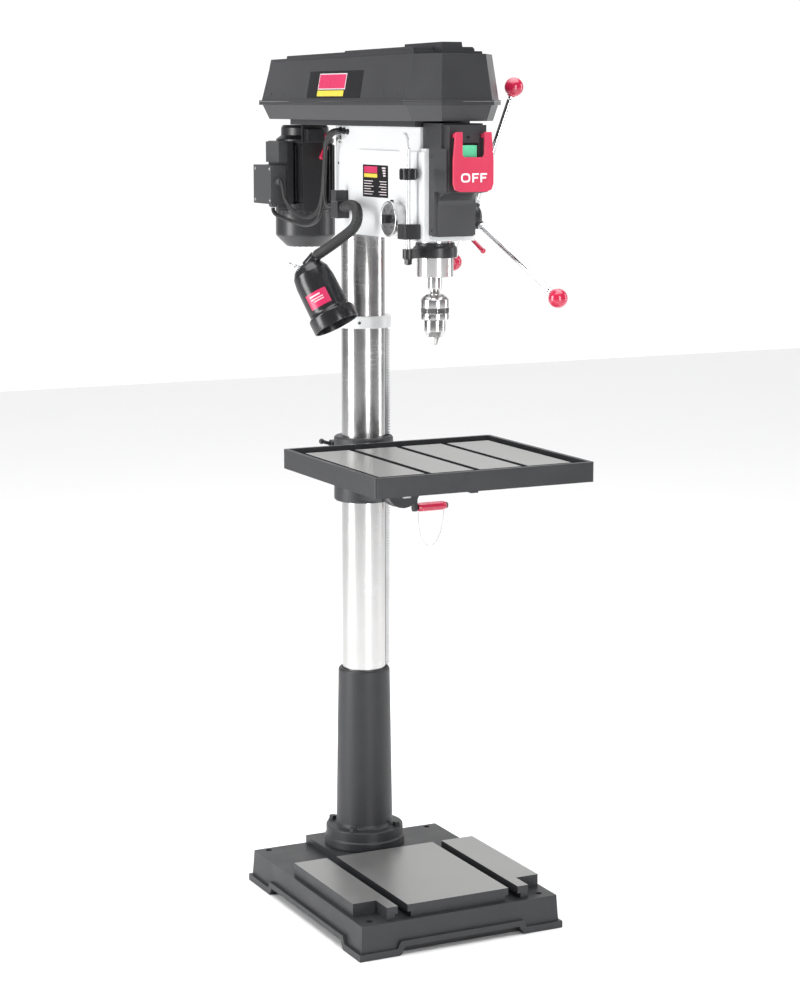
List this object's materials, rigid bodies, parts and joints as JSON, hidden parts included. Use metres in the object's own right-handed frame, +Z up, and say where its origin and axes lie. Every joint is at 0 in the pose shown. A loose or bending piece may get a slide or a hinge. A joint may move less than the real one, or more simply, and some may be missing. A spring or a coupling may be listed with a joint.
{
  "type": "drill press",
  "caption": "Floor-standing drill press with cast base, steel column, rack-lifted tilting table, belt-driven head, chuck, three-handle feed and work lamp.",
  "frame": {"origin": "on the floor under the middle of the whole machine's box", "axes": "+Z up along the column, -Y towards the operator at the front, +X to the operator's right"},
  "size_m": [0.4748, 0.9266, 1.7824],
  "materials": {
    "cast_iron": "satin charcoal paint with machined grey faces",
    "ground_steel": "ground bright steel",
    "head_paint": "light grey paint on cast iron",
    "black_plastic": "satin black moulded plastic",
    "black_paint": "black paint",
    "red_plastic": "crimson moulded plastic",
    "green_plastic": "green moulded plastic",
    "chrome": "polished plate",
    "rubber": "black rubber sheath",
    "alloy": "cast alloy, lightly machined",
    "bulb_glass": "frosted lamp glass"
  },
  "bodies": {
    "frame": {"base_casting": "cast_iron", "column_sleeve": "cast_iron", "column_tube": "ground_steel", "column_collar": "head_paint", "head_casting": "head_paint", "front_cover": "black_plastic", "guard_tray": "black_plastic", "front_belt": "rubber", "rear_belt": "rubber", "motor_lead": "rubber", "switch_lead": "rubber", "lamp_lead": "rubber", "lamp_bracket": "black_plastic", "depth_guide": "black_paint", "spring_housing": "alloy", "return_spring": "ground_steel"},
    "rack": {"table_rack": "ground_steel"},
    "carriage": {"table_bracket": "cast_iron", "tilt_bolt": "chrome"},
    "table": {"table_casting": "cast_iron"},
    "table_lock": {"table_lock_lever": "black_paint"},
    "crank": {"crank_arm": "black_paint"},
    "crank_handle": {"crank_grip": "red_plastic"},
    "chain": {"crank_chain": "chrome"},
    "quill_slide": {"quill": "ground_steel", "quill_collar": "black_paint", "depth_rod": "chrome"},
    "depth_stop": {"depth_nut": "black_paint"},
    "spindle": {"spindle": "ground_steel", "chuck_body": "chrome"},
    "chuck_ring": {"chuck_sleeve": "chrome"},
    "jaw_1": {"chuck_jaw_1": "ground_steel"},
    "jaw_2": {"chuck_jaw_2": "ground_steel"},
    "jaw_3": {"chuck_jaw_3": "ground_steel"},
    "feed": {"feed_shaft": "ground_steel", "feed_hub": "black_paint", "feed_handle_1": "chrome", "feed_handle_2": "chrome", "feed_handle_3": "chrome", "handle_knob_1": "red_plastic", "handle_knob_2": "red_plastic", "handle_knob_3": "red_plastic"},
    "front_sheave": {"spindle_pulley": "alloy"},
    "idler": {"idler_pulley": "alloy"},
    "motor": {"motor_body": "black_paint", "motor_fan_cowl": "black_plastic", "motor_mount_plate": "black_paint", "terminal_box": "black_plastic", "capacitor_cover": "black_plastic"},
    "rotor": {"motor_shaft": "ground_steel", "motor_pulley": "alloy"},
    "tensioner": {"tension_lever": "red_plastic"},
    "lid": {"guard_lid": "black_plastic"},
    "stop": {"stop_paddle": "red_plastic"},
    "start": {"start_button": "green_plastic"},
    "quill_lock": {"quill_lock_lever": "red_plastic"},
    "lamp": {"gooseneck": "rubber", "lamp_shade": "black_plastic", "lamp_bulb": "bulb_glass"},
    "lamp_toggle": {"lamp_switch": "chrome"}
  },
  "joints": [
    {"name": "table_swing", "type": "hinge", "parent": "frame", "child": "rack", "pos_m": [0, 0.08835, 0.9], "axis": [0, 0, 1], "range_deg": [-170, 170]},
    {"name": "table_lift", "type": "slide", "parent": "rack", "child": "carriage", "axis": [0, 0, 1], "range_m": [-0.36, 0.19]},
    {"name": "table_tilt", "type": "hinge", "parent": "carriage", "child": "table", "pos_m": [0, -0.09165, 0.885], "axis": [0, 1, 0], "range_deg": [-45, 45]},
    {"name": "table_lock_turn", "type": "hinge", "parent": "carriage", "child": "table_lock", "pos_m": [0, 0.16635, 0.948], "axis": [1, 0, 0], "range_deg": [-60, 0]},
    {"name": "crank_turn", "type": "hinge", "parent": "carriage", "child": "crank", "pos_m": [0, 0.06535, 0.885], "axis": [1, 0, 0], "range_deg": [-6500, 3440]},
    {"name": "crank_grip_spin", "type": "hinge", "parent": "crank", "child": "crank_handle", "pos_m": [0.15, 0.06535, 0.815], "axis": [1, 0, 0], "continuous": true},
    {"name": "chain_hang", "type": "hinge", "parent": "crank", "child": "chain", "pos_m": [0.15, 0.06535, 0.815], "axis": [1, 0, 0], "range_deg": [-3440, 6500]},
    {"name": "quill_feed", "type": "slide", "parent": "frame", "child": "quill_slide", "axis": [0, 0, -1], "range_m": [0, 0.084], "stiffness_N_per_m": 500, "springref_m": -0.3},
    {"name": "feed_turn", "type": "hinge", "parent": "frame", "child": "feed", "pos_m": [0, -0.19565, 1.443], "axis": [1, 0, 0], "range_deg": [-1, 371]},
    {"name": "depth_nut_set", "type": "slide", "parent": "quill_slide", "child": "depth_stop", "axis": [0, 0, 1], "range_m": [0, 0.03]},
    {"name": "spindle_spin", "type": "hinge", "parent": "quill_slide", "child": "spindle", "pos_m": [0, -0.24165, 1.3], "axis": [0, 0, 1], "continuous": true},
    {"name": "front_sheave_spin", "type": "hinge", "parent": "frame", "child": "front_sheave", "pos_m": [0, -0.24165, 1.67], "axis": [0, 0, 1], "continuous": true},
    {"name": "idler_spin", "type": "hinge", "parent": "frame", "child": "idler", "pos_m": [0, 0.00835, 1.67], "axis": [0, 0, 1], "continuous": true},
    {"name": "rotor_spin", "type": "hinge", "parent": "motor", "child": "rotor", "pos_m": [0, 0.38235, 1.65], "axis": [0, 0, 1], "continuous": true},
    {"name": "motor_slide", "type": "slide", "parent": "frame", "child": "motor", "axis": [0, -1, 0], "range_m": [0, 0.012], "deforming": ["rear_belt", "motor_lead", "switch_lead"]},
    {"name": "tension_lever_turn", "type": "hinge", "parent": "motor", "child": "tensioner", "pos_m": [0.01, 0.29835, 1.598], "axis": [-1, 0, 0], "range_deg": [0, 80]},
    {"name": "lid_hinge", "type": "hinge", "parent": "frame", "child": "lid", "pos_m": [-0.105, 0.08835, 1.67015], "axis": [0, -1, 0], "range_deg": [0, 100]},
    {"name": "stop_press", "type": "hinge", "parent": "frame", "child": "stop", "pos_m": [0, -0.38165, 1.607], "axis": [1, 0, 0], "range_deg": [0, 6], "stiffness_Nm_per_rad": 0.4, "springref_deg": -11.46},
    {"name": "start_press", "type": "slide", "parent": "frame", "child": "start", "axis": [0, 1, 0], "range_m": [0, 0.003], "stiffness_N_per_m": 400, "springref_m": -0.003},
    {"name": "quill_lock_turn", "type": "hinge", "parent": "frame", "child": "quill_lock", "pos_m": [0.062, -0.26365, 1.409], "axis": [1, 0, 0], "range_deg": [-60, 0]},
    {"name": "lamp_swing", "type": "hinge", "parent": "frame", "child": "lamp", "pos_m": [-0.068, 0.03635, 1.456], "axis": [0, 1, 0], "range_deg": [-5, 50]},
    {"name": "lamp_toggle_flip", "type": "hinge", "parent": "lamp", "child": "lamp_toggle", "pos_m": [-0.18213, 0.03088, 1.33939], "axis": [0.2475, 0.9115, -0.3285], "range_deg": [-12, 12]},
    {"name": "chuck_ring_turn", "type": "hinge", "parent": "spindle", "child": "chuck_ring", "pos_m": [0, -0.24165, 1.23], "axis": [0, 0, 1], "range_deg": [0, 900]},
    {"name": "jaw_1_slide", "type": "slide", "parent": "spindle", "child": "jaw_1", "axis": [0.2588, 0, 0.9659], "range_m": [0, 0.0081]},
    {"name": "jaw_2_slide", "type": "slide", "parent": "spindle", "child": "jaw_2", "axis": [-0.1294, 0.2241, 0.9659], "range_m": [0, 0.0081]},
    {"name": "jaw_3_slide", "type": "slide", "parent": "spindle", "child": "jaw_3", "axis": [-0.1294, -0.2241, 0.9659], "range_m": [0, 0.0081]}
  ],
  "couplings": [
    {"joint": "crank_turn", "follows": "table_lift", "rad_per_m": 314.16},
    {"joint": "chain_hang", "follows": "table_lift", "rad_per_m": -314.16},
    {"joint": "feed_turn", "follows": "quill_feed", "rad_per_m": 76.923},
    {"joint": "front_sheave_spin", "follows": "spindle_spin", "ratio": 1},
    {"joint": "idler_spin", "follows": "spindle_spin", "ratio": 0.8125},
    {"joint": "rotor_spin", "follows": "spindle_spin", "ratio": 0.96023},
    {"joint": "tension_lever_turn", "follows": "motor_slide", "rad_per_m": 116},
    {"joint": "jaw_1_slide", "follows": "chuck_ring_turn", "m_per_rad": 0.000509},
    {"joint": "jaw_2_slide", "follows": "chuck_ring_turn", "m_per_rad": 0.000509},
    {"joint": "jaw_3_slide", "follows": "chuck_ring_turn", "m_per_rad": 0.000509}
  ]
}
